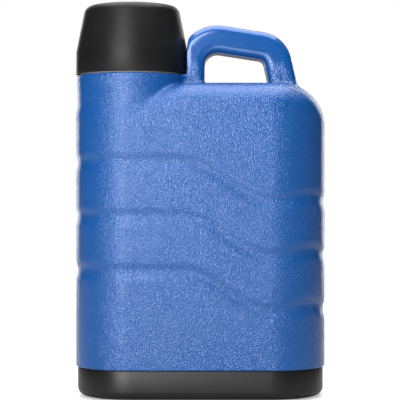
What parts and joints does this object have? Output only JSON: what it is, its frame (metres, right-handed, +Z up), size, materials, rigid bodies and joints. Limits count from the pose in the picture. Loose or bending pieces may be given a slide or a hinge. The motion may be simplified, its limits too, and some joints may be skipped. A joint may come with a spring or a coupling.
{
  "type": "insulated water jug",
  "caption": "Large insulated water jug: round-ended shell with wave grooves and a looped top handle, an offset neck under a screw-on cup, a screw stopper and a dark base.",
  "frame": {"origin": "on the ground, under the middle of the jug's bounding box", "axes": "+Z up, +X from the neck end towards the handle's far end, the wide front faces -Y"},
  "size_m": [0.2184, 0.1006, 0.3414],
  "materials": {
    "shell": "blue high-density polyethylene with a moulded leather-like grain",
    "cup": "black satin polypropylene",
    "trim": "black satin polypropylene",
    "base": "black matt polypropylene",
    "liner": "white food-grade polypropylene",
    "foam": "rigid insulating foam",
    "seal": "grey silicone",
    "feet": "black rubber"
  },
  "bodies": {
    "jug": {"outer_shell": "shell", "insulation_front": "foam", "insulation_back": "foam", "insulation_base_tray": "foam", "inner_liner": "liner", "neck_gasket": "seal", "neck_collar": "trim", "pour_lip": "liner", "base_cover": "base", "foot_left_front": "feet", "foot_left_back": "feet", "foot_right_front": "feet", "foot_right_back": "feet"},
    "stopper_ring": {"stopper_seal": "seal"},
    "stopper": {"stopper_body": "trim", "stopper_core": "foam", "stopper_lid": "trim"},
    "cup_ring": {"cup_seal": "seal"},
    "cup": {"cup_outer": "cup", "cup_lining": "cup"}
  },
  "joints": [
    {"name": "stopper_lift", "type": "slide", "parent": "jug", "child": "stopper_ring", "axis": [0, 0, 1], "range_m": [0, 0.07]},
    {"name": "stopper_turn", "type": "hinge", "parent": "stopper_ring", "child": "stopper", "pos_m": [-0.0601, 0, 0.3], "axis": [0, 0, 1], "continuous": true},
    {"name": "cup_lift", "type": "slide", "parent": "stopper", "child": "cup_ring", "axis": [0, 0, 1], "range_m": [0, 0.09]},
    {"name": "cup_turn", "type": "hinge", "parent": "cup_ring", "child": "cup", "pos_m": [-0.0601, 0, 0.3], "axis": [0, 0, 1], "continuous": true}
  ]
}
